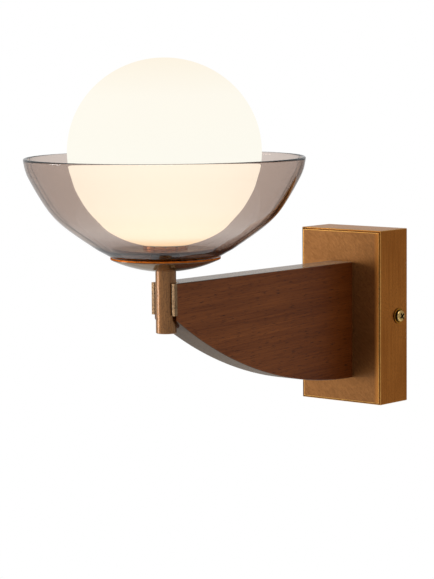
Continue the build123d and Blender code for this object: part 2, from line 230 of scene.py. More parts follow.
class Shader(Graph):
    """Nodes of one material, round its Principled shader."""

    def __init__(self, name: str) -> None:
        """Start a material with its plain shader.

        Args:
            name: name of the material.
        """
        self.material = bpy.data.materials.new(name)
        super().__init__(self.material)
        self.surface = self.tree.nodes["Principled BSDF"]
        self.output = self.tree.nodes["Material Output"]

    def dress(self, **values: NodeSocket | float | Colour) -> None:
        """Lead values to the shader's own sockets, with underscores for spaces in their names."""
        for name, value in values.items():
            self.give(self.surface.inputs[name.replace("_", " ")], value)

    def place(self) -> NodeSocket:
        """Give the place on the piece, in metres."""
        return self.add("ShaderNodeTexCoord").outputs["Object"]

    def grain(self, size: Triple, turn: Triple = (0.0, 0.0, 0.0), detail: float = 3.0) -> NodeSocket:
        """Lay a noise whose spots have a size along each axis.

        Args:
            size: size of a spot along the turned axes, in millimetres.
            turn: turn of the pattern about the axes, in degrees.
            detail: how many finer layers the noise has.

        Returns:
            The noise.
        """
        mapping = self.add("ShaderNodeMapping")
        mapping.vector_type = "TEXTURE"
        self.give(mapping.inputs["Rotation"], [math.radians(angle) for angle in turn])
        self.give(mapping.inputs["Scale"], [length * MM for length in size])
        self.give(mapping.inputs["Vector"], self.place())
        noise = self.add("ShaderNodeTexNoise")
        self.give(noise.inputs["Scale"], 1.0)
        self.give(noise.inputs["Detail"], detail)
        self.give(noise.inputs["Vector"], mapping.outputs["Vector"])
        return noise.outputs["Fac"]

    def share_along(self, axis: str, span: Pair) -> NodeSocket:
        """Give the place along an axis as a share.

        Args:
            axis: name of the axis.
            span: places that count as 0 and as 1, in millimetres.

        Returns:
            The share, held between 0 and 1.
        """
        parts = self.add("ShaderNodeSeparateXYZ")
        self.give(parts.inputs["Vector"], self.place())
        return self.spread(parts.outputs[axis], 0.0, 1.0, span[0] * MM, span[1] * MM)

    def ramp(self, source: NodeSocket, stops: Stops) -> NodeSocket:
        """Turn a value into colours.

        Args:
            source: the value.
            stops: places from 0 to 1, each with its colour.

        Returns:
            The colour.
        """
        node = self.add("ShaderNodeValToRGB")
        elements = node.color_ramp.elements
        while len(elements) < len(stops):
            elements.new(1.0)
        for element, (position, colour) in zip(elements, stops):
            element.position = position
            element.color = colour
        self.give(node.inputs["Fac"], source)
        return node.outputs["Color"]

    def mix(
        self,
        share: NodeSocket | float,
        first: NodeSocket,
        second: NodeSocket | Colour,
        way: Blend = Blend.MIX,
    ) -> NodeSocket:
        """Mix two colours.

        Args:
            share: how much of the second colour.
            first: the first colour.
            second: the second colour.
            way: how they are mixed.

        Returns:
            The mixed colour.
        """
        node = self.add("ShaderNodeMix")
        node.data_type = "RGBA"
        node.blend_type = way.value
        for index, value in ((MIX_SHARE, share), (MIX_FIRST, first), (MIX_SECOND, second)):
            self.give(node.inputs[index], value)
        return node.outputs[MIX_RESULT]

    def raise_by(self, source: NodeSocket, depth: float, strength: float) -> None:
        """Give the surface a relief, on top of any that it has.

        Args:
            source: the relief, from 0 to 1.
            depth: its depth in millimetres.
            strength: how strongly it shows.
        """
        node = self.add("ShaderNodeBump")
        self.give(node.inputs["Distance"], depth * MM)
        self.give(node.inputs["Strength"], strength)
        self.give(node.inputs["Height"], source)
        for earlier in self.surface.inputs["Normal"].links:
            self.give(node.inputs["Normal"], earlier.from_socket)
        self.dress(Normal=node.outputs["Normal"])


@dataclass(frozen=True)
class Finish:
    """A finish that pieces share."""

    name: str  # name of its material

    @cache
    def material(self) -> Material:
        """Make the material on first use.

        Returns:
            The material, the same one for every piece.
        """
        shader = Shader(self.name)
        self.lay(shader)
        return shader.material

    def lay(self, shader: Shader) -> None:
        """Lay the finish on a plain shader."""
        raise NotImplementedError


@dataclass(frozen=True)
class BrushedBrass(Finish):
    """Aged brass with brushed hairlines, a cloudy patina and small dark specks."""

    deep: Colour  # colour of the dark patches
    bright: Colour  # colour of the rubbed patches
    hairline: Triple  # size of a hairline along the turned axes, in millimetres
    turn: Triple = (0.0, 0.0, 0.0)  # turn of the hairlines about the axes, in degrees
    smooth: float = 0.16  # roughness of the most polished spots
    dull: float = 0.30  # roughness of the dullest spots
    speckle: float = 0.25  # how dark the specks are, from 0 to 1
    metal: float = 1.0  # 1 for bare metal, less under a patina
    lacquer: float = 0.35  # weight of the clear lacquer
    sheen: float = 0.14  # roughness of that lacquer
    roll: Pair = (0.0, 1.0)  # where a margin along X that looks rolled back starts and ends, in millimetres
    fall: float = 0.0  # how far it seems to roll back, none for 0
    painted_light: Colour = CLEAR  # colour of the painted highlight on that margin
    lined: float = 0.6  # share of the hairlines in the change of colour, the rest being that of the patches
    patch: Triple = (26.0, 26.0, 34.0)  # size of a patch, in millimetres
    speck: Triple = (0.9, 0.9, 1.1)  # size of a speck
    speck_span: Pair = (0.36, 0.5)  # noise up to which a speck is darkest, and from which there is none
    sparse: float = 0.4  # how strongly specks show in the dark patches
    relief: Pair = (0.01, 0.1)  # depth of the hairlines in millimetres, and how strongly it shows

    def lay(self, shader: Shader) -> None:
        """Lay hairlines that change colour, gloss and relief.

        Args:
            shader: the plain shader.
        """
        lines = shader.grain(self.hairline, self.turn, detail=4.0)
        patches = shader.grain(self.patch, detail=4.0)
        specks = shader.grain(self.speck, detail=2.0)
        by_line = shader.spread(lines, 0.0, self.lined)
        by_patch = shader.spread(patches, 0.0, 1.0 - self.lined)
        tarnish = shader.join(Operation.ADD, by_line, by_patch)
        colour = shader.ramp(tarnish, ((0.0, self.deep), (1.0, self.bright)))
        speck_start, speck_end = self.speck_span
        dark = shader.ramp(specks, ((speck_start, grey(1.0 - self.speckle)), (speck_end, CLEAR)))
        patina = shader.mix(shader.spread(patches, self.sparse, 1.0), colour, dark, Blend.MULTIPLY)
        shader.dress(Roughness=shader.spread(lines, self.dull, self.smooth))
        shader.dress(Metallic=self.metal, Specular_Tint=EDGE_TINT)
        shader.dress(Coat_Weight=self.lacquer, Coat_Roughness=self.sheen)
        shader.raise_by(lines, *self.relief)
        if self.fall:
            into = shader.share_along("X", self.roll)
            rolled = shader.join(Operation.MULTIPLY, into, into)
            # Painted highlight: the margin gets brighter towards its edge, besides the bump that tilts it.
            patina = shader.mix(into, patina, self.painted_light)
            upright = shader.spread(rolled, 1.0, 0.0, start=0.0, end=1.0)
            shader.raise_by(upright, self.fall, strength=1.0)
        shader.dress(Base_Color=patina)


@dataclass(frozen=True)
class OiledWalnut(Finish):
    """Dark stained walnut with bands, fine fibres and short dark pores along the arm."""

    deep: Colour  # colour of the dark bands
    warm: Colour  # colour of the light bands
    pore: Colour  # colour of the open pores
    shade: Colour  # tint of the painted shade where the wood meets the box
    smooth: float = 0.30  # roughness between the fibres
    dull: float = 0.46  # roughness on the fibres
    gloss: float = 0.18  # level of the reflections, 0.5 for plain lacquer
    nap: float = 0.0  # weight of the sheen that shows along the surface
    nap_tint: Colour = (1.0, 0.76, 0.54, 1.0)  # colour of that sheen
    slope: Triple = (2.0, 0.0, 0.0)  # turn of the grain about the axes, in degrees
    band_size: Triple = (9.0, 160.0, 9.0)  # size of a band along each axis, in millimetres
    fibre_size: Triple = (0.8, 45.0, 0.8)  # size of a fibre
    pore_size: Triple = (0.45, 7.0, 0.45)  # size of a pore
    banded: float = 0.45  # share of the bands in the change of colour, the rest being that of the fibres
    contrast: Pair = (0.1, 0.9)  # places of the dark and of the light colour in that change
    pore_span: Pair = (0.60, 0.70)  # noise at which a pore starts to open, and at which it is open
    shaded: Pair = (-120.0, -30.0)  # where the painted shade beside the box starts and is full, along Y
    relief: Pair = (0.06, 0.3)  # depth of the fibres and pores in millimetres, and how strongly it shows

    def lay(self, shader: Shader) -> None:
        """Lay grain that changes colour, gloss and relief.

        Args:
            shader: the plain shader.
        """
        bands = shader.grain(self.band_size, self.slope, detail=3.0)
        fibres = shader.grain(self.fibre_size, self.slope, detail=3.0)
        pores = shader.grain(self.pore_size, self.slope, detail=2.0)
        by_band = shader.spread(bands, 0.0, self.banded)
        by_fibre = shader.spread(fibres, 0.0, 1.0 - self.banded)
        figure = shader.join(Operation.ADD, by_band, by_fibre)
        wood = shader.ramp(figure, tuple(zip(self.contrast, (self.deep, self.warm))))
        open_pores = shader.spread(pores, 0.0, 1.0, *self.pore_span)
        grained = shader.mix(open_pores, wood, self.pore)
        near_box = shader.share_along("Y", self.shaded)
        # Painted shade darkens the wood towards the box.
        shader.dress(Base_Color=shader.mix(near_box, grained, self.shade, Blend.MULTIPLY))
        shader.dress(Roughness=shader.spread(fibres, self.smooth, self.dull))
        shader.dress(Specular_IOR_Level=self.gloss, Sheen_Weight=self.nap, Sheen_Tint=self.nap_tint)
        shader.raise_by(shader.join(Operation.SUBTRACT, fibres, open_pores), *self.relief)


@dataclass(frozen=True)
class SmokedGlass(Finish):
    """Clear, faintly wavy glass that absorbs light on its way through."""

    tint: Colour  # share of each colour that the glass lets pass, at its density
    density: float  # how fast the glass absorbs, per metre
    edge: Stops  # how far the surface has turned away, each with the colour that it lets pass there, with a narrow dark band as a painted dark outline
    heel: Colour  # share of each colour that the foot lets pass besides
    rise: Pair  # heights between which that tint fades, in millimetres
    bend: float = 1.47  # index of refraction
    wave: Triple = (22.0, 22.0, 12.0)  # size of a wave along each axis, in millimetres
    relief: Pair = (0.25, 0.06)  # depth of the waves in millimetres, and how strongly it shows

    def lay(self, shader: Shader) -> None:
        """Lay a clear surface over an absorbing inside.

        Args:
            shader: the plain shader.
        """
        slant = shader.add("ShaderNodeLayerWeight").outputs["Facing"]
        height = shader.share_along("Z", self.rise)
        tinted = shader.ramp(height, ((0.0, self.heel), (1.0, CLEAR)))
        # A painted dark outline where the surface turns away, on top of the tint by height.
        passed = shader.mix(1.0, shader.ramp(slant, self.edge), tinted, Blend.MULTIPLY)
        shader.dress(Base_Color=passed, Roughness=0.0, IOR=self.bend, Transmission_Weight=1.0)
        inside = shader.add("ShaderNodeVolumeAbsorption")
        shader.give(inside.inputs["Color"], self.tint)
        shader.give(inside.inputs["Density"], self.density)
        shader.give(shader.output.inputs["Volume"], inside.outputs["Volume"])
        shader.raise_by(shader.grain(self.wave, detail=1.0), *self.relief)


@dataclass(frozen=True)
class LitOpal(Finish):
    """White glass lit from inside, bright enough to outshine smoked glass in front of it."""

    glow: Stops  # places up the piece, each with the colour of its glow
    outshine: Stops  # the same for the glow that reaches the eye through other glass
    span: Pair  # heights that count as 0 and as 1, in millimetres
    strength: float  # strength of the glow
    body: Colour  # colour of the glass itself
    gloss: float = 0.0  # level of its reflections, 0 for etched glass
    bend: float = 1.5  # index of refraction
    cloud: Triple = (18.0, 18.0, 18.0)  # size of a cloud along each axis, in millimetres
    shade: float = 0.94  # how dark a cloud is, as a share of the colour
    rough: Pair = (0.32, 0.40)  # roughness in the clouds and between them

    def lay(self, shader: Shader) -> None:
        """Lay a glow that changes with height over faintly cloudy glass.

        Args:
            shader: the plain shader.
        """
        height = shader.share_along("Z", self.span)
        through_glass = shader.add("ShaderNodeLightPath").outputs["Is Transmission Ray"]
        glow = shader.mix(through_glass, shader.ramp(height, self.glow), shader.ramp(height, self.outshine))
        clouds = shader.grain(self.cloud, detail=2.0)
        shaded = (*(part * self.shade for part in self.body[:3]), 1.0)
        colour = shader.ramp(clouds, ((NOISE_LOW, shaded), (NOISE_HIGH, self.body)))
        shader.dress(Base_Color=colour, Roughness=shader.spread(clouds, *self.rough))
        shader.dress(Emission_Color=glow, Emission_Strength=self.strength)
        shader.dress(IOR=self.bend, Specular_IOR_Level=self.gloss)


@dataclass(frozen=True)
class PlainFinish(Finish):
    """Finish of the pieces inside: two close colours in spots, with a fine relief."""

    deep: Colour  # colour of the dark spots
    bright: Colour  # colour of the light spots
    spot: Triple  # size of a spot along each axis, in millimetres
    rough: Pair  # roughness of the light and of the dark spots
    metal: float = 0.0  # 1 for a metal, 0 for anything else
    relief: Pair = (0.02, 0.3)  # depth of the relief in millimetres, and how strongly it shows

    def lay(self, shader: Shader) -> None:
        """Lay spots that change colour, gloss and relief.

        Args:
            shader: the plain shader.
        """
        spots = shader.grain(self.spot)
        colour = shader.ramp(spots, ((NOISE_LOW, self.deep), (NOISE_HIGH, self.bright)))
        shader.dress(Base_Color=colour, Metallic=self.metal)
        shader.dress(Roughness=shader.spread(spots, *reversed(self.rough)))
        shader.raise_by(spots, *self.relief)


PLATE_BRASS = BrushedBrass(
    "plate_brass",
    deep=tone(118, 74, 35),
    bright=tone(164, 111, 62),
    hairline=(4.0, 0.32, 0.32),
    turn=(0.0, 42.0, 0.0),
    smooth=0.34,
    dull=0.46,
    metal=0.88,
    lacquer=0.18,
    roll=(28.0, 32.5),
    fall=0.6,
    # Painted highlight along the rolled right margin of the plate.
    painted_light=tone(240, 156, 70),
)
# Bright bevels of the box: edge wear and a painted highlight.
WORN_HIGHLIGHT_BRASS = BrushedBrass(
    "worn_highlight_brass", tone(204, 139, 64), tone(250, 190, 104), hairline=(0.6, 0.6, 6.0), smooth=0.26
)
SHELL_BRASS = BrushedBrass(
    "shell_brass", tone(165, 94, 35), tone(211, 133, 60), hairline=(0.7, 0.7, 48.0), lacquer=0.1
)
TUBE_BRASS = BrushedBrass(
    "tube_brass",
    deep=tone(128, 82, 35),
    bright=tone(180, 122, 64),
    hairline=(0.6, 0.6, 9.0),
    smooth=0.3,
    dull=0.46,
    speckle=0.45,
    lacquer=1.0,
    sheen=0.2,
)
TURNED_BRASS = BrushedBrass(
    "turned_brass", tone(68, 45, 21), tone(108, 77, 43), hairline=(6.0, 6.0, 0.4), speckle=0.3, lacquer=1.0
)
# Painted glow of the globe's light along the top of the saucer's edge.
LIP_GLOW_BRASS = BrushedBrass(
    "lip_glow_brass",
    deep=tone(166, 79, 24),
    bright=tone(244, 137, 46),
    hairline=(1.6, 1.6, 0.6),
    smooth=0.45,
    dull=0.6,
    speckle=0.5,
    lacquer=0.0,
)
# Bright brass on the collar, a painted glow of the globe's light.
COLLAR_GLOW_BRASS = BrushedBrass(
    "collar_glow_brass", tone(244, 150, 76), tone(255, 200, 124), hairline=(6.0, 6.0, 0.4), dull=0.5
)
DISC_BRASS = BrushedBrass("disc_brass", tone(72, 22, 9), tone(112, 44, 22), hairline=(6.0, 6.0, 0.4))
CRADLE_BRASS = BrushedBrass(
    "cradle_brass", tone(116, 86, 58), tone(186, 152, 114), hairline=(0.9, 0.9, 3.0), dull=0.42, speckle=0.6
)
# Painted shade on the washers' side walls, in the slots of the screws and on the low sides of their heads.
PAINTED_SHADE_BRASS = BrushedBrass(
    "painted_shade_brass", tone(18, 11, 4), tone(42, 27, 11), hairline=(1.2, 1.2, 1.2), smooth=0.4, dull=0.6
)
SCREW_BRASS = BrushedBrass(
    "screw_brass", tone(140, 84, 20), tone(255, 216, 134), hairline=(2.2, 2.2, 2.2), smooth=0.05, dull=0.12
)
WASHER_BRASS = BrushedBrass(
    "washer_brass", tone(110, 68, 16), tone(206, 140, 46), hairline=(1.6, 1.6, 1.6), lacquer=0.1
)
WALNUT = OiledWalnut(
    "oiled_walnut", tone(96, 46, 14), tone(132, 73, 30), tone(54, 24, 8), shade=(0.53, 0.40, 0.22, 1.0)
)
EDGE_WALNUT = OiledWalnut(
    "edge_walnut",
    deep=tone(54, 36, 20),
    warm=tone(88, 62, 38),
    pore=tone(38, 25, 14),
    # On the top face the tint near the box is a painted reflection of the brass box.
    shade=(1.0, 0.62, 0.36, 1.0),
    smooth=0.10,
    dull=0.20,
    gloss=0.5,
    nap=0.3,
)
# Edge grain of the underside, darker and less red than the sides as painted shade.
SHADED_UNDER_WALNUT = OiledWalnut(
    "shaded_under_walnut",
    deep=tone(54, 36, 18),
    warm=tone(84, 60, 34),
    pore=tone(38, 25, 14),
    shade=(1.0, 0.72, 0.5, 1.0),
    nap=0.17,
)
BOWL_GLASS = SmokedGlass(
    "bowl_glass",
    tint=(0.66, 0.547, 0.473, 1.0),
    density=475.0,
    edge=(
        (0.00, CLEAR),
        (0.76, CLEAR),
        (0.785, (0.012, 0.006, 0.003, 1.0)),
        (0.81, (0.92, 0.88, 0.80, 1.0)),
    ),
    heel=(0.34, 0.22, 0.16, 1.0),
    rise=(50.0, 70.0),
)
GLOBE_GLASS = LitOpal(
    "lit_opal",
    glow=(
        (0.0, (0.57, 0.515, 0.415, 1.0)),
        (0.4, (0.57, 0.56, 0.505, 1.0)),
        (0.8, (0.57, 0.548, 0.488, 1.0)),
        (1.0, (0.56, 0.515, 0.435, 1.0)),
    ),
    outshine=(
        (0.00, (1.00, 0.75, 0.44, 1.0)),
        (0.05, (0.99, 0.86, 0.66, 1.0)),
        (0.10, (1.00, 0.93, 0.75, 1.0)),
        (0.20, (0.99, 0.96, 0.82, 1.0)),
        (0.40, (0.95, 0.93, 0.81, 1.0)),
    ),
    span=(62.0, 177.0),
    strength=1.68,
    body=tone(60, 59, 56),
)
BULB_GLASS = LitOpal(
    "lit_capsule",
    glow=((0.0, (1.0, 0.82, 0.60, 1.0)), (1.0, (1.0, 0.93, 0.80, 1.0))),
    outshine=((0.0, (1.0, 0.86, 0.64, 1.0)), (1.0, (1.0, 0.96, 0.84, 1.0))),
    span=(96.0, 128.0),
    strength=0.85,
    body=tone(120, 116, 106),
    gloss=0.15,
)
STEEL = PlainFinish(
    "zinc_steel",
    deep=tone(150, 152, 154),
    bright=tone(196, 198, 200),
    spot=(1.5, 1.5, 6.0),
    rough=(0.28, 0.42),
    metal=1.0,
)
RAW_BRASS = PlainFinish(
    "raw_brass",
    deep=tone(176, 138, 66),
    bright=tone(206, 172, 98),
    spot=(2.0, 2.0, 2.0),
    rough=(0.22, 0.36),
    metal=1.0,
)
CERAMIC = PlainFinish(
    "glazed_ceramic", tone(222, 216, 204), tone(240, 236, 226), spot=(4.0, 4.0, 4.0), rough=(0.18, 0.30)
)
RUBBER = PlainFinish(
    "soft_washer", tone(188, 186, 180), tone(208, 206, 200), spot=(1.0, 1.0, 1.0), rough=(0.60, 0.75)
)
BLOCK = PlainFinish(
    "block_plastic", tone(206, 202, 190), tone(222, 218, 208), spot=(0.6, 0.6, 0.6), rough=(0.40, 0.55)
)
SHEATH = PlainFinish(
    "lead_sheath", tone(206, 196, 172), tone(226, 218, 198), spot=(0.8, 4.0, 0.8), rough=(0.35, 0.50)
)
FLOOR_PAINT = PlainFinish(
    "pale_floor", tone(236, 236, 236), tone(242, 242, 242), spot=(60.0, 60.0, 60.0), rough=(0.7, 0.8)
)


class Form:
    """A mesh in the making, in millimetres."""

    def __init__(self) -> None:
        """Start from an empty mesh."""
        self.mesh = bmesh.new()

    def add_block(self, low: Triple, high: Triple) -> list[BMVert]:
        """Add a box between two corners.

        Args:
            low: lowest corner.
            high: highest corner.

        Returns:
            The corners of the box.
        """
        corners = bmesh.ops.create_cube(self.mesh, size=1.0)["verts"]
        bmesh.ops.scale(self.mesh, vec=Vector(high) - Vector(low), verts=corners)
        bmesh.ops.translate(self.mesh, vec=(Vector(high) + Vector(low)) / 2, verts=corners)
        return corners

    def add_drum(self, radius: float, foot: float, top: float, segments: int = 48) -> list[BMVert]:
        """Add an upright cylinder about the Z axis.

        Args:
            radius: its radius.
            foot: height of its lower end.
            top: height of its upper end.
            segments: number of its sides.

        Returns:
            The corners of the cylinder.
        """
        corners = bmesh.ops.create_cone(
            self.mesh, cap_ends=True, segments=segments, radius1=radius, radius2=radius, depth=top - foot
        )["verts"]
        bmesh.ops.translate(self.mesh, vec=(0.0, 0.0, (top + foot) / 2), verts=corners)
        return corners

    def add_corners(self, places: Iterable[Triple]) -> list[BMVert]:
        """Add single corners."""
        return [self.mesh.verts.new(place) for place in places]

    def add_section(self, section: Sequence[Pair]) -> list[BMVert]:
        """Add the corners of a half section, given by radius and height, beside the axis of the tube."""
        return self.add_corners((radius, STEM_Y, height) for radius, height in section)

    def add_turned(self, section: Sequence[Pair], steps: int = 96, closed: bool = True) -> None:
        """Turn a half section about the axis of the tube.

        Args:
            section: radius and height of each corner.
            steps: steps of a full turn.
            closed: whether the last corner joins the first.
        """
        corners = self.add_section(section)
        pairs = list(zip(corners, corners[1:]))
        if closed:
            pairs.append((corners[-1], corners[0]))
        edges = [self.mesh.edges.new(pair) for pair in pairs]
        bmesh.ops.spin(
            self.mesh,
            geom=corners + edges,
            cent=(0.0, STEM_Y, 0.0),
            axis=UPWARD,
            angle=math.tau,
            steps=steps,
            use_merge=True,
        )
        self.settle()

    def add_ring(self, radii: Pair, heights: Pair, edges: Pair = (0.0, 0.0), steps: int = 96) -> None:
        """Add a ring about the axis of the tube.

        Args:
            radii: inner and outer radius.
            heights: heights of its underside and of its top.
            edges: bevels of its lower and of its upper outer edge.
            steps: steps of a full turn.
        """
        bore, radius = radii
        foot, top = heights
        lower, upper = edges
        lower_edge = [(radius - lower, foot), (radius, foot + lower)]
        upper_edge = [(radius, top - upper), (radius - upper, top)]
        section = dict.fromkeys([(bore, foot)] + lower_edge + upper_edge + [(bore, top)])
        self.add_turned(list(section), steps)

    def swing(self, start: Triple, centre: Triple, axis: Vector, angle: float, steps: int) -> list[BMVert]:
        """Swing a corner round a centre.

        Args:
            start: where the corner starts.
            centre: centre of the arc.
            axis: axis of the turn.
            angle: angle of the turn, in radians.
            steps: steps of the arc.

        Returns:
            The corners of the arc, in order.
        """
        known = len(self.mesh.verts)
        first = self.mesh.verts.new(start)
        bmesh.ops.spin(self.mesh, geom=[first], cent=centre, axis=axis, angle=angle, steps=steps)
        self.mesh.verts.ensure_lookup_table()
        return self.mesh.verts[known:]

    def fill_and_push(self, outline: Sequence[BMVert], way: Vector) -> None:
        """Make a face from an outline and draw it out into a solid.

        Args:
            outline: corners of the outline, in order.
            way: how far and in which direction it is drawn out.
        """
        face = self.mesh.faces.new(outline)
        drawn = bmesh.ops.extrude_face_region(self.mesh, geom=[face])["geom"]
        moved = [part for part in drawn if isinstance(part, BMVert)]
        bmesh.ops.translate(self.mesh, vec=way, verts=moved)
        self.settle()

    def face_towards(self, aim: Vector) -> BMFace:
        """Find the face that looks in a direction and lies furthest that way.

        Args:
            aim: the direction.

        Returns:
            The face.
        """
        self.mesh.normal_update()
        facing = [face for face in self.mesh.faces if face.normal.dot(aim) > FACING]
        return max(facing, key=lambda face: face.calc_center_median().dot(aim))

    def sink(self, face: BMFace, margin: float, depth: float) -> BMFace:
        """Sink a face inside a margin.

        Args:
            face: the face.
            margin: width that stays at its edge.
            depth: how deep the rest sinks.

        Returns:
            The sunk face.
        """
        bmesh.ops.inset_region(self.mesh, faces=[face], thickness=margin)
        inward = -face.normal * depth
        sunk = bmesh.ops.extrude_discrete_faces(self.mesh, faces=[face])["faces"][0]
        bmesh.ops.translate(self.mesh, vec=inward, verts=sunk.verts)
        return sunk

    def soften(self, edges: Iterable[BMEdge], width: float, segments: int = 2, finish: int = 0) -> None:
        """Bevel some edges.

        Args:
            edges: the edges.
            width: width of the bevel.
            segments: number of its strips.
            finish: index of the finish on the bevel.
        """
        strips = bmesh.ops.bevel(
            self.mesh,
            geom=list(edges),
            offset=width,
            offset_type="OFFSET",
            affect="EDGES",
            segments=segments,
            profile=0.5,
            material=-1,
        )["faces"]
        for strip in strips:
            strip.material_index = finish

    def paint(self, choose: Callable[[BMFace], int]) -> None:
        """Choose the finish of every face.

        Args:
            choose: gives the index of a face's finish.
        """
        self.mesh.normal_update()
        for face in self.mesh.faces:
            face.material_index = choose(face)

    def settle(self) -> None:
        """Merge doubles and turn the faces outwards."""
        bmesh.ops.remove_doubles(self.mesh, verts=self.mesh.verts, dist=MERGED)
        bmesh.ops.recalc_face_normals(self.mesh, faces=self.mesh.faces)

    def loose_object(self, name: str) -> Object:
        """Turn the form into an object with no finish.

        Args:
            name: name of the object.

        Returns:
            The object, in the units of the form.
        """
        data = bpy.data.meshes.new(name)
        self.mesh.to_mesh(data)
        self.mesh.free()
        made = bpy.data.objects.new(name, data)
        bpy.context.scene.collection.objects.link(made)
        return made

    def cut_by(self, tool: "Form") -> None:
        """Take another form out of this one.

        Args:
            tool: the form that is taken out, used up by this.
        """
        whole = self.loose_object("cut_whole")
        taken = tool.loose_object("cut_tool")
        cut = whole.modifiers.new("cut", "BOOLEAN")
        cut.object = taken
        cut.operation = "DIFFERENCE"
        cut.solver = "EXACT"
        self.mesh = bmesh.new()
        self.mesh.from_object(whole, bpy.context.evaluated_depsgraph_get())
        for used in (whole, taken):
            data = used.data
            bpy.data.objects.remove(used)
            bpy.data.meshes.remove(data)

    def piece(
        self,
        name: str,
        node: str,
        finishes: Sequence[Finish],
        body: Body = Body.LAMP,
        crease: float = 30.0,
    ) -> None:
        """Turn the form into a finished piece that stands for a node of the frame.

        Args:
            name: name of the piece.
            node: the node that it stands for.
            finishes: its finishes, in the order of the faces' indices.
            body: the moving group that it rides on.
            crease: angle in degrees from which an edge stays sharp.
        """
        bmesh.ops.scale(self.mesh, vec=(MM, MM, MM), verts=self.mesh.verts)
        for face in self.mesh.faces:
            face.smooth = True
        for edge in self.mesh.edges:
            edge.smooth = edge.calc_face_angle(0.0) < math.radians(crease)
        made = self.loose_object(name)
        made.modifiers.new("flat_beside_bevels", "WEIGHTED_NORMAL").keep_sharp = True
        for finish in finishes:
            made.data.materials.append(finish.material())
        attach(made, body.value)
        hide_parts(node)
        log.info("made %s with %d faces", name, len(made.data.polygons))


def fair_curve(points: Sequence[Pair], start: Vector, end: Vector, samples: int) -> list[Vector]:
    """Draw a curve of even bend through points.

    Args:
        points: the points, in order.
        start: unit direction at the first point.
        end: unit direction at the last point.
        samples: samples between two points.

    Returns:
        Points of the curve.
    """
    knots = numpy.array(points)
    gaps = numpy.linalg.norm(numpy.diff(knots, axis=0), axis=1)
    system = numpy.identity(len(points))
    wanted = numpy.array([start] * (len(points) - 1) + [end])
    for index in range(1, len(points) - 1):
        before, after = gaps[index - 1], gaps[index]
        steps = numpy.diff(knots[index - 1 : index + 2], axis=0)
        system[index, index - 1 : index + 2] = (after, 2 * (before + after), before)
        wanted[index] = 3 * (after / before * steps[0] + before / after * steps[1])
    slopes = numpy.linalg.solve(system, wanted)
    curve = [Vector(points[0])]
    for index, gap in enumerate(gaps):
        first, last = Vector(knots[index]), Vector(knots[index + 1])
        lead, trail = Vector(slopes[index]) * gap / 3, Vector(slopes[index + 1]) * gap / 3
        curve += interpolate_bezier(first, first + lead, last - trail, last, samples)[1:]
    return curve


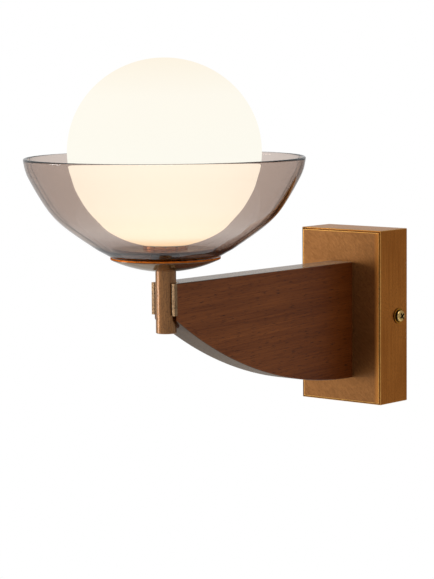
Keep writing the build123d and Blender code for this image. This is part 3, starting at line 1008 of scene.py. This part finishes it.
@dataclass
class WallBox:
    """Brass box on the wall: shell, inlaid front plate, and a screw on a washer in each side."""

    width: float = 67.0  # width of the box
    height: float = 118.0  # height of the box
    depth: float = 30.0  # how far it stands out from the wall
    wall: float = 1.5  # thickness of its walls
    rim: float = 0.6  # thickness of the walls beside the front plate
    edge: float = 0.45  # bevel of its long edges
    ledge: float = 3.0  # width of the ledge behind the front plate
    ledge_depth: float = 1.5  # thickness of that ledge
    plate: float = 2.0  # thickness of the front plate
    gap: float = 0.3  # mean gap round the front plate
    rest: float = 0.25  # how far the front plate lies low and to the left in that gap
    plate_edge: float = 0.7  # bevel round the front plate
    screw_out: float = 9.6  # distance of the side screws from the wall
    head_radius: float = 4.0  # radius of a screw head
    head_height: float = 2.4  # height of a screw head
    dome: float = 1.92  # height of its dome
    dome_strips: int = 8  # strips of that dome
    washer_radius: float = 5.3  # radius of a washer
    washer_height: float = 0.8  # thickness of a washer
    washer_round: float = 1 / 3  # share of that thickness that its bevel takes
    washer_strips: int = 3  # strips of that bevel
    cross_reach: float = 2.48  # half length of the slots in a screw head
    cross_width: float = 1.3  # width of those slots
    cross_depth: float = 1.3  # depth of those slots
    cross_turn: float = 35.0  # angle of the slots, in degrees
    painted_shade_reach: float = 0.065  # how far above the floor of the slots the head gets painted shade

    def build(self) -> None:
        """Build every piece of the box."""
        self.build_shell()
        self.build_plate()
        for side in Side:
            self.build_washer(side)
            self.build_screw(side)

    def build_shell(self) -> None:
        """Build the four walls with the ledge that the plate lies on."""
        form = Form()
        half = self.width / 2
        tall = self.height / 2
        form.add_block((-half, -self.depth, -tall), (half, 0.0, tall))
        cavity = self.depth - self.plate - self.ledge_depth
        front = form.sink(form.face_towards(FRONT), self.rim, self.plate)
        back = form.sink(form.face_towards(BACK), self.wall, cavity)
        for face, margin in ((front, self.wall - self.rim + self.ledge), (back, self.ledge)):
            bmesh.ops.inset_region(form.mesh, faces=[face], thickness=margin)
        openings = list(front.edges) + list(back.edges)
        bmesh.ops.delete(form.mesh, geom=[front, back], context="FACES_ONLY")
        bmesh.ops.bridge_loops(form.mesh, edges=openings)
        corner = math.hypot(half, tall) - FLUSH
        seen = []
        for edge in form.mesh.edges:
            at_corner = all(math.hypot(*vert.co.xz) > corner for vert in edge.verts)
            if at_corner and min(vert.co.y for vert in edge.verts) < -self.wall:
                seen.append(edge)
        # The bevels get edge wear and a painted highlight.
        form.soften(seen, self.edge, finish=1)
        form.settle()
        form.piece("box_shell", "wall_box_shell", [SHELL_BRASS, WORN_HIGHLIGHT_BRASS])

    def build_plate(self) -> None:
        """Build the front plate with its bevelled edge."""
        form = Form()
        half = self.width / 2 - self.rim - self.gap
        tall = self.height / 2 - self.rim - self.gap
        corners = form.add_block((-half, -self.depth, -tall), (half, self.plate - self.depth, tall))
        bmesh.ops.translate(form.mesh, vec=(-self.rest, 0.0, -self.rest), verts=corners)
        form.soften(form.face_towards(FRONT).edges, self.plate_edge, finish=1)
        form.piece("box_plate", "front_plate", [PLATE_BRASS, WORN_HIGHLIGHT_BRASS])

    def outward(self, side: Side) -> Matrix:
        """Give the place of a side screw, with Z pointing out of the box."""
        spot = Matrix.Translation((side.value * self.width / 2, -self.screw_out, 0.0))
        return spot @ Matrix.Rotation(side.value * math.pi / 2, 4, "Y")

    def build_washer(self, side: Side) -> None:
        """Build the washer under a side screw.

        Args:
            side: the side of the box.
        """
        form = Form()
        form.add_drum(self.washer_radius, 0.0, self.washer_height)
        bevel = self.washer_height * self.washer_round
        form.soften(form.face_towards(UPWARD).edges, bevel, self.washer_strips)
        # The washer's side wall gets painted shade.
        form.paint(lambda face: int(abs(face.normal.z) < UPRIGHT))
        bmesh.ops.transform(form.mesh, matrix=self.outward(side), verts=form.mesh.verts)
        name = side.name.lower()
        form.piece(f"washer_{name}", f"box_washer_{name}", [WASHER_BRASS, PAINTED_SHADE_BRASS])

    def build_screw(self, side: Side) -> None:
        """Build the domed head of a side screw, with its cross.

        Args:
            side: the side of the box.
        """
        form = Form()
        foot = self.washer_height
        top = foot + self.head_height
        slot_floor = top - self.cross_depth
        narrow = self.cross_width / 2
        form.add_drum(self.head_radius, foot, top)
        form.soften(form.face_towards(UPWARD).edges, self.dome, self.dome_strips)
        for along, across in ((self.cross_reach, narrow), (narrow, self.cross_reach)):
            slot = Form()
            slot.add_block((-along, -across, slot_floor), (along, across, top + OVERCUT))
            form.cut_by(slot)

        def in_painted_shade(face: BMFace) -> int:
            """Tell the faces in painted shade, the walls and floor of the slots and the low side of the head,
            from the dome.

            Args:
                face: a face of the head.

            Returns:
                1 for a face in painted shade, 0 for a face of the dome.
            """
            spot = face.calc_center_median()
            inside = math.hypot(spot.x, spot.y) < self.cross_reach + narrow
            slot_wall = inside and abs(face.normal.z) < UPRIGHT
            return int(slot_wall or foot < spot.z < slot_floor + self.painted_shade_reach)

        form.paint(in_painted_shade)
        turned = self.outward(side) @ Matrix.Rotation(math.radians(self.cross_turn), 4, "Z")
        bmesh.ops.transform(form.mesh, matrix=turned, verts=form.mesh.verts)
        name = side.name.lower()
        form.piece(f"screw_{name}", f"box_screw_{name}", [SCREW_BRASS, PAINTED_SHADE_BRASS])


@dataclass
class Arm:
    """Walnut arm, and the brass cradle at its tip that holds the tube."""

    thickness: float = 19.0  # thickness of the board
    root: float = -30.0  # where the board meets the box, along Y
    top: float = 37.0  # height of its level top
    foot: float = -42.0  # lowest point of its underside
    tip_foot: float = 13.3  # height of its underside at the tip
    edge: float = 0.8  # rounding of its long edges
    edge_strips: int = 4  # strips of that rounding
    end_margin: float = 0.1  # length at each end of the board in which no edge is rounded
    bend_steps: int = 64  # steps of the arc of its underside
    narrow: float = 0.6  # how far up or down a face looks, from 0 to 1, to count as one of the narrow faces
    crease: float = 26.0  # angle in degrees from which an edge of the board stays sharp
    groove: float = 8.3  # radius of the groove in its tip
    groove_steps: int = 96  # steps of a full turn of that groove
    cradle_height: float = 20.2  # height of the cradle
    cradle_front: float = 2.8  # how far its cheeks stand in front of the axis of the tube
    cradle_edge: float = 0.6  # bevel at the inner front edges of the cheeks
    trough: float = 6.8  # inner radius of the trough behind the tube
    trough_wall: float = 1.2  # thickness of that trough
    trough_steps: int = 32  # steps of its half turn

    def build(self) -> None:
        """Build the board and the cradle."""
        self.build_board()
        self.build_cradle()

    def build_board(self) -> None:
        """Build the board: a level top, and an underside that climbs in one arc to the tip."""
        form = Form()
        side = -self.thickness / 2
        reach = self.root - STEM_Y
        climb = self.tip_foot - self.foot
        radius = (reach**2 + climb**2) / (2 * climb)
        centre = (side, self.root, self.foot + radius)
        swept = math.asin(reach / radius)
        outline = form.swing((side, self.root, self.foot), centre, ACROSS, -swept, self.bend_steps)
        outline += form.add_corners(((side, STEM_Y, self.top), (side, self.root, self.top)))
        form.fill_and_push(outline, ACROSS * self.thickness)
        form.soften(self.long_edges(form), self.edge, self.edge_strips)
        notch = Form()
        corners = notch.add_drum(self.groove, self.foot, self.top + OVERCUT, self.groove_steps)
        bmesh.ops.translate(notch.mesh, vec=(0.0, STEM_Y, 0.0), verts=corners)
        form.cut_by(notch)
        # The narrow faces get their own walnut; the underside's is darker and less red as painted shade.
        form.paint(lambda face: int(face.normal.z > self.narrow) + 2 * int(face.normal.z < -self.narrow))
        finishes = [WALNUT, EDGE_WALNUT, SHADED_UNDER_WALNUT]
        form.piece("arm_board", "arm", finishes, crease=self.crease)

    def long_edges(self, form: Form) -> list[BMEdge]:
        """Pick the edges along the top and the underside of the board.

        Args:
            form: the board.

        Returns:
            The edges that run along its two sides.
        """
        picked = []
        for edge in form.mesh.edges:
            first, last = edge.verts[0].co, edge.verts[1].co
            middle = (first + last) / 2
            along_side = abs(first.x - last.x) < FLUSH
            if along_side and STEM_Y + self.end_margin < middle.y < self.root - self.end_margin:
                picked.append(edge)
        return picked

    def build_cradle(self) -> None:
        """Build the two cheeks and the trough that joins them behind the tube."""
        form = Form()
        foot = self.top - self.cradle_height
        centre = (0.0, STEM_Y, foot)
        half = self.thickness / 2
        front = STEM_Y - self.cradle_front
        cheek = [
            (half, STEM_Y),
            (half, front),
            (self.trough + self.cradle_edge, front),
            (self.trough, front + self.cradle_edge),
        ]
        start = (self.trough + self.trough_wall, STEM_Y, foot)
        outline = form.swing(start, centre, UPWARD, math.pi, self.trough_steps)
        outline += form.add_corners((-x, y, foot) for x, y in cheek)
        start = (-self.trough, STEM_Y, foot)
        outline += form.swing(start, centre, UPWARD, -math.pi, self.trough_steps)
        outline += form.add_corners((x, y, foot) for x, y in reversed(cheek))
        form.fill_and_push(outline, UPWARD * self.cradle_height)
        form.piece("tube_cradle", "stem_cradle", [CRADLE_BRASS])


@dataclass
class Tube:
    """Upright brass tube that carries the bowl."""

    radius: float = 6.5  # outer radius
    bore: float = 5.3  # inner radius
    foot: float = 5.4  # height of its lower end
    top: float = 44.8  # height of its upper end
    edge: float = 0.4  # bevel of its lower edge

    def build(self) -> None:
        """Build the tube."""
        form = Form()
        form.add_ring((self.bore, self.radius), (self.foot, self.top), (self.edge, 0.0))
        form.piece("upright_tube", "stem_tube", [TUBE_BRASS])


@dataclass
class Saucer:
    """Brass saucer under the bowl, part of a sphere."""

    radius: float = 34.4  # radius of its edge
    hole: float = 4.1  # radius of the hole in its middle
    flat: float = 10.0  # radius of the flat in its middle
    foot: float = 44.8  # height of that flat
    curve: float = 80.0  # radius of the sphere of its underside
    thickness: float = 1.4  # thickness of the sheet
    lip: float = 0.25  # bevel of its edge
    painted_light: float = 0.8  # height of the line of painted glow from the globe along the top of its edge
    samples: int = 24  # samples of each arc
    steps: int = 128  # steps of a full turn

    def arc(self, curve: float, start: float, end: float) -> list[Pair]:
        """Sample an arc about the centre of the saucer's sphere.

        Args:
            curve: radius of the sphere.
            start: distance from the axis at the start.
            end: distance from the axis at the end.

        Returns:
            Radius and height of each sample.
        """
        centre = self.foot + math.sqrt(self.curve**2 - self.flat**2)
        angles = numpy.linspace(math.asin(start / curve), math.asin(end / curve), self.samples + 1)
        return [(curve * math.sin(angle), centre - curve * math.cos(angle)) for angle in angles]

    def build(self) -> None:
        """Build the saucer, with a line of painted glow from the globe along the top of its edge."""
        form = Form()
        inner_curve = self.curve - self.thickness
        rise = math.sqrt(self.curve**2 - self.flat**2) - self.thickness
        floor_edge = math.sqrt(inner_curve**2 - rise**2)
        brink = self.radius - self.lip
        under = self.arc(self.curve, self.flat, brink)
        inside = self.arc(inner_curve, brink, floor_edge)
        top_of_edge = inside[0][1] - self.lip
        painted_light_foot = top_of_edge - self.painted_light
        edge = [(self.radius, height) for height in (under[-1][1] + self.lip, painted_light_foot, top_of_edge)]
        middle = [(self.hole, self.foot + self.thickness), (self.hole, self.foot)]
        form.add_turned(under + edge + inside + middle, self.steps)

        def in_painted_light(face: BMFace) -> int:
            """Tell the line of painted glow from the rest.

            Args:
                face: a face of the saucer.

            Returns:
                1 on the line of painted glow, 0 elsewhere.
            """
            spot = face.calc_center_median()
            outermost = math.hypot(spot.x, spot.y - STEM_Y) > brink
            return int(outermost and spot.z > painted_light_foot)

        form.paint(in_painted_light)
        form.piece("bowl_saucer", "saucer", [TURNED_BRASS, LIP_GLOW_BRASS])


@dataclass
class Bowl:
    """Smoked glass bowl with a rounded rim, its wall thinnest just above the foot."""

    radius: float = 87.6  # radius at the rim
    foot: float = 48.6  # height of its flat underside
    rim: float = 115.2  # height of its rim
    hole: float = 4.6  # radius of the hole in its middle
    flat: float = 12.0  # radius of its flat middle
    seat_radius: float = 34.4  # radius where it meets the saucer
    seat: float = 53.8  # height there
    ridge: Pair = (42.5, 58.3)  # radius and height of the upper edge of its straight foot
    # Places along the curve, 0 in the middle and 1 at the rim, each with its thickness.
    wall: tuple[Pair, ...] = ((0.0, 3.3), (0.16, 1.7), (0.32, 1.4), (0.7, 2.3), (1.0, 2.3))
    lean: float = 11.0  # lean of the wall at the rim, in degrees
    # Points of its outer curve, as shares of the way out and up from the seat to the rim.
    shares: tuple[Pair, ...] = (
        (0.31, 0.170),
        (0.50, 0.292),
        (0.65, 0.413),
        (0.80, 0.597),
        (0.915, 0.775),
        (0.976, 0.897),
    )
    samples: int = 8  # samples between two points of the curve, and round the rim
    steps: int = 160  # steps of a full turn
    crease: float = 60.0  # angle in degrees from which an edge stays sharp

    def thickness(self, share: float) -> float:
        """Find the thickness of the wall.

        Args:
            share: place along the outer curve, 0 in the middle and 1 at the rim.

        Returns:
            The thickness there, eased from each given place to the next.
        """
        for (start, first), (end, last) in zip(self.wall, self.wall[1:]):
            if share <= end:
                eased = (1.0 - math.cos(math.pi * (share - start) / (end - start))) / 2
                return first + (last - first) * eased
        return self.wall[-1][1]

    def outer_wall(self) -> list[Vector]:
        """Draw the outer curve from the flat middle over the straight foot to the rim.

        Returns:
            Radius and height of each sample.
        """
        corners = [Vector((self.flat, self.foot)), Vector((self.seat_radius, self.seat)), Vector(self.ridge)]
        foot = []
        for start, end in zip(corners, corners[1:]):
            foot += [start.lerp(end, step / self.samples) for step in range(self.samples)]
        top = self.rim - self.thickness(1.0) / 2
        way_out = self.radius - self.seat_radius
        way_up = top - self.seat
        middle = [(self.seat_radius + out * way_out, self.seat + up * way_up) for out, up in self.shares]
        points = [self.ridge, *middle, (self.radius, top)]
        heading = (Vector(points[1]) - Vector(points[0])).normalized()
        lean = math.radians(self.lean)
        return foot + fair_curve(points, heading, Vector((math.sin(lean), math.cos(lean))), self.samples)

    def inner_wall(self, outer: list[Vector]) -> list[Vector]:
        """Set the inner curve off from the outer one.

        Args:
            outer: samples of the outer curve.

        Returns:
            Samples of the inner curve, in the same order.
        """
        inner = []
        last = len(outer) - 1
        for index, spot in enumerate(outer):
            heading = (outer[min(index + 1, last)] - outer[max(index - 1, 0)]).normalized()
            inner.append(spot + Vector((-heading.y, heading.x)) * self.thickness(index / last))
        return inner

    def rounded_rim(self, outer: Vector, inner: Vector) -> list[Vector]:
        """Round the rim between the ends of both walls.

        Args:
            outer: end of the outer wall.
            inner: end of the inner wall.

        Returns:
            Corners between the two ends.
        """
        middle = (outer + inner) / 2
        across = outer - middle
        upward = Vector((-across.y, across.x))
        angles = numpy.linspace(0.0, math.pi, self.samples + 1)[1:-1]
        return [middle + across * math.cos(angle) + upward * math.sin(angle) for angle in angles]

    def build(self) -> None:
        """Build the bowl."""
        form = Form()
        outer = self.outer_wall()
        inner = self.inner_wall(outer)
        walls = outer + self.rounded_rim(outer[-1], inner[-1]) + inner[::-1]
        middle = [(self.hole, self.foot + self.thickness(0.0)), (self.hole, self.foot)]
        form.add_turned([tuple(spot) for spot in walls] + middle, self.steps)
        form.piece("glass_bowl", "bowl", [BOWL_GLASS], crease=self.crease)


@dataclass
class GlobeSeat:
    """Brass disc inside the bowl, and the slotted collar on it that carries the globe."""

    hole: float = 4.1  # radius of the hole in both
    disc_radius: float = 32.8  # radius of the disc
    disc_foot: float = 57.4  # height of its underside
    disc_top: float = 59.0  # height of its top
    disc_edge: float = 0.4  # bevel of its edges
    collar_radius: float = 13.8  # radius of the collar
    floor_top: float = 60.0  # height of the top of the collar's floor
    shoulder: float = 61.4  # height of the shoulder that carries the globe
    sleeve: float = 11.45  # outer radius of the sleeve above it
    sleeve_bore: float = 10.45  # inner radius of that sleeve
    sleeve_top: float = 68.8  # height of its upper end
    bead: float = 0.25  # how far the bead at its end stands out
    bead_height: float = 2.0  # height of that bead
    slits: int = 12  # number of slits
    slit_width: float = 0.7  # width of a slit
    slit_turn: float = 12.5  # angle of the first slit from X, in degrees
    finger_steps: int = 6  # steps of the turn between two slits
    steps: int = 128  # steps of a full turn

    def build(self) -> None:
        """Build the disc and the collar."""
        self.build_disc()
        self.build_collar()

    def build_disc(self) -> None:
        """Build the disc with its bevelled edges."""
        form = Form()
        radii = (self.hole, self.disc_radius)
        form.add_ring(radii, (self.disc_foot, self.disc_top), (self.disc_edge, self.disc_edge), self.steps)
        form.piece("seat_disc", "clamp_disc", [DISC_BRASS])

    def build_collar(self) -> None:
        """Build the collar: a floor, and a ring of fingers with slits between them."""
        form = Form()
        pitch = math.tau / self.slits
        slit = self.slit_width / self.sleeve
        corners = form.add_section(
            [
                (self.sleeve_bore, self.floor_top),
                (self.collar_radius, self.floor_top),
                (self.collar_radius, self.shoulder),
                (self.sleeve, self.shoulder),
                (self.sleeve, self.sleeve_top - self.bead_height),
                (self.sleeve + self.bead, self.sleeve_top - self.bead_height / 2),
                (self.sleeve, self.sleeve_top),
                (self.sleeve_bore, self.sleeve_top),
            ]
        )
        finger = form.mesh.faces.new(corners)
        centre = (0.0, STEM_Y, 0.0)
        start = Matrix.Rotation(math.radians(self.slit_turn) + slit / 2, 3, "Z")
        bmesh.ops.rotate(form.mesh, cent=centre, matrix=start, verts=corners)
        around = {"cent": centre, "axis": UPWARD}
        bmesh.ops.spin(form.mesh, geom=[finger], angle=pitch - slit, steps=self.finger_steps, **around)
        form.settle()
        whole = form.mesh.verts[:] + form.mesh.edges[:] + form.mesh.faces[:]
        rest = self.slits - 1
        bmesh.ops.spin(form.mesh, geom=whole, angle=pitch * rest, steps=rest, use_duplicate=True, **around)
        form.add_ring((self.hole, self.collar_radius), (self.disc_top, self.floor_top), steps=self.steps)
        form.piece("slotted_collar", "globe_gallery", [COLLAR_GLOW_BRASS])


@dataclass
class Globe:
    """Opal globe, slightly flattened, open at its foot."""

    radius: float = 60.4  # largest radius
    half_height: float = 58.2  # half its height, were it whole
    centre: float = 118.598  # height of its centre
    wall: float = 3.0  # thickness of the glass
    hole: float = 12.0  # radius of the hole in its foot
    foot_radius: float = 14.5  # radius of the flat round that hole
    foot: float = 62.1  # height of that flat
    samples: int = 64  # samples from foot to top
    steps: int = 128  # steps of a full turn
    crease: float = 40.0  # angle in degrees from which an edge stays sharp

    def shell(self, inset: float, start: float) -> list[Pair]:
        """Sample the section of the globe, or of its inside, from the foot to the top.

        Args:
            inset: how far it lies inside the outer surface.
            start: distance from the axis at the foot.

        Returns:
            Radius and height of each sample.
        """
        wide = self.radius - inset
        tall = self.half_height - inset
        angles = numpy.linspace(math.asin(start / wide), math.pi, self.samples + 1)[:-1]
        points = [(wide * math.sin(angle), self.centre - tall * math.cos(angle)) for angle in angles]
        return points + [(0.0, self.centre + tall)]

    def build(self) -> None:
        """Build the globe."""
        form = Form()
        outer = self.shell(0.0, self.foot_radius)
        inner = self.shell(self.wall, self.hole)
        form.add_turned(outer[::-1] + [(self.hole, self.foot)] + inner, self.steps, closed=False)
        form.piece("opal_globe", "globe", [GLOBE_GLASS], Body.GLOBE, self.crease)


@dataclass
class Insides:
    """Nodes that keep the shape of the frame, each with its finish."""

    # Finishes, each with its nodes.
    finishes: tuple[tuple[Finish, tuple[str, ...]], ...] = (
        (STEEL, ("wall_bracket", "backing_plate", "arm_screw_lower", "arm_screw_upper", "cradle_screw")),
        (STEEL, ("lock_washer", "clamp_nut", "bulb_pins")),
        (RAW_BRASS, ("ground_screw", "stem_bushing", "threaded_nipple", "disc_spacer")),
        (TUBE_BRASS, ("stem_plug",)),
        (RUBBER, ("lower_gasket", "upper_gasket", "seat_gasket")),
        (CERAMIC, ("lampholder", "bulb_base")),
        (BULB_GLASS, ("bulb_capsule",)),
        (BLOCK, ("terminal_block",)),
        (SHEATH, ("lamp_lead",)),
    )

    def dress(self) -> None:
        """Give every node its finish."""
        for finish, nodes in self.finishes:
            for node in nodes:
                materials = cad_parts[node].data.materials
                materials.clear()
                materials.append(finish.material())
                log.info("dressed %s in %s", node, finish.name)


@dataclass(frozen=True)
class Softbox:
    """A studio lamp with a rectangular face."""

    name: str  # name of the lamp
    place: Triple  # where it stands, in metres
    aim: Triple  # the point that it faces
    size: Pair  # width and height of its face
    power: float  # its power in watts

    def build(self) -> None:
        """Build the lamp and turn it to its aim."""
        lamp = bpy.data.lights.new(self.name, "AREA")
        lamp.shape = "RECTANGLE"
        lamp.size, lamp.size_y = self.size
        lamp.energy = self.power
        made = bpy.data.objects.new(self.name, lamp)
        made.location = self.place
        made.rotation_euler = (Vector(self.aim) - Vector(self.place)).to_track_quat("-Z", "Y").to_euler()
        bpy.context.scene.collection.objects.link(made)


@dataclass(frozen=True)
class Screen:
    """A screen that stands far off and that only reflections show."""

    way: Triple  # direction in which it stands
    edge: float  # cosine of the angle from that direction at its soft edge
    full: float  # cosine of the angle from that direction within which it is whole
    share: float  # its strength as a share of the surroundings' own


@dataclass
class Studio:
    """Pale floor, white surroundings, soft lamps and the camera."""

    floor_centre: Triple = (0.0, -0.15, -0.40)  # middle of the floor, below the lamp, in metres
    floor_radius: float = 0.62  # radius of the floor
    floor_sides: int = 96  # number of its sides
    ambient: float = 0.60  # strength of the surroundings as light on the object
    bright_side: Triple = (-0.76, -0.65, 0.0)  # direction in which reflections are brightest
    # Strength of the surroundings in reflections, on the dim and on the bright side.
    reflected: Pair = (0.37, 0.62)
    # A dark screen that gives the glass a dark edge, and a pale one over the level faces.
    screens: tuple[Screen, ...] = (
        Screen(way=(-0.28, 0.93, -0.24), edge=0.96, full=0.985, share=0.4),
        Screen(way=(-0.65, 0.75, 0.12), edge=0.88, full=0.95, share=1.25),
    )
    # The soft lamps.
    lamps: tuple[Softbox, ...] = (
        Softbox("strip", place=(-2.12, -1.72, 0.05), aim=(0.0, -0.20, 0.03), size=(0.75, 0.9), power=12.0),
        Softbox("top", place=(0.1, -0.5, 1.3), aim=(0.0, -0.15, 0.0), size=(1.0, 1.0), power=7.0),
    )
    camera_place: Triple = (0.990441, -1.320375, 0.188377)  # place of the camera, in metres
    azimuth: float = 40.48  # angle of the view round the object, in degrees
    elevation: float = 5.978  # angle of the view above the horizon
    roll: float = -0.46  # turn of the camera about its view
    lens: float = 149.22  # focal length in millimetres
    sensor: float = 36.0  # width of the camera's frame in millimetres

    def build(self) -> None:
        """Build the whole studio."""
        bpy.context.scene.view_settings.view_transform = "Standard"
        self.build_floor()
        self.build_surroundings()
        self.build_camera()
        for lamp in self.lamps:
            lamp.build()

    def build_floor(self) -> None:
        """Build the floor, a pale disc below the lamp."""
        form = Form()
        bmesh.ops.create_circle(form.mesh, cap_ends=True, segments=self.floor_sides, radius=self.floor_radius)
        bmesh.ops.translate(form.mesh, vec=self.floor_centre, verts=form.mesh.verts)
        floor = form.loose_object("floor")
        floor.data.materials.append(FLOOR_PAINT.material())

    def build_surroundings(self) -> None:
        """Make the surroundings white to the eye and through glass, softer in reflections and as light."""
        world = bpy.data.worlds.new("studio")
        bpy.context.scene.world = world
        graph = Graph(world)
        path = graph.add("ShaderNodeLightPath").outputs
        way = graph.add("ShaderNodeTexCoord").outputs["Generated"]
        sideways = graph.nearness(way, self.bright_side)
        level = graph.spread(sideways, *self.reflected, start=-1.0, end=1.0)
        for screen in self.screens:
            near = graph.nearness(way, screen.way)
            share = graph.spread(near, 1.0, screen.share, start=screen.edge, end=screen.full)
            level = graph.join(Operation.MULTIPLY, level, share)
        level = graph.spread(path["Is Glossy Ray"], self.ambient, level, start=0.0, end=1.0)
        for name in ("Is Camera Ray", "Is Transmission Ray"):
            level = graph.join(Operation.MAXIMUM, level, path[name])
        background = graph.tree.nodes["Background"].inputs
        graph.give(background["Color"], CLEAR)
        graph.give(background["Strength"], level)

    def build_camera(self) -> None:
        """Build the camera at the viewing angle of the photograph."""
        camera = bpy.data.cameras.new("camera")
        camera.lens = self.lens
        camera.sensor_width = self.sensor
        made = bpy.data.objects.new("camera", camera)
        tilt = Euler((math.radians(90.0 - self.elevation), 0.0, math.radians(self.azimuth))).to_matrix()
        turn = tilt @ Matrix.Rotation(math.radians(self.roll), 3, "Z")
        made.matrix_world = Matrix.Translation(self.camera_place) @ turn.to_4x4()
        bpy.context.scene.collection.objects.link(made)
        bpy.context.scene.camera = made


def main() -> None:
    """Build the lamp and its studio."""
    logging.basicConfig(level=logging.INFO, format="%(name)s: %(message)s")
    for assembly in (WallBox(), Arm(), Tube(), Saucer(), Bowl(), GlobeSeat(), Globe()):
        assembly.build()
    Insides().dress()
    Studio().build()


if __name__ == "__main__":
    main()
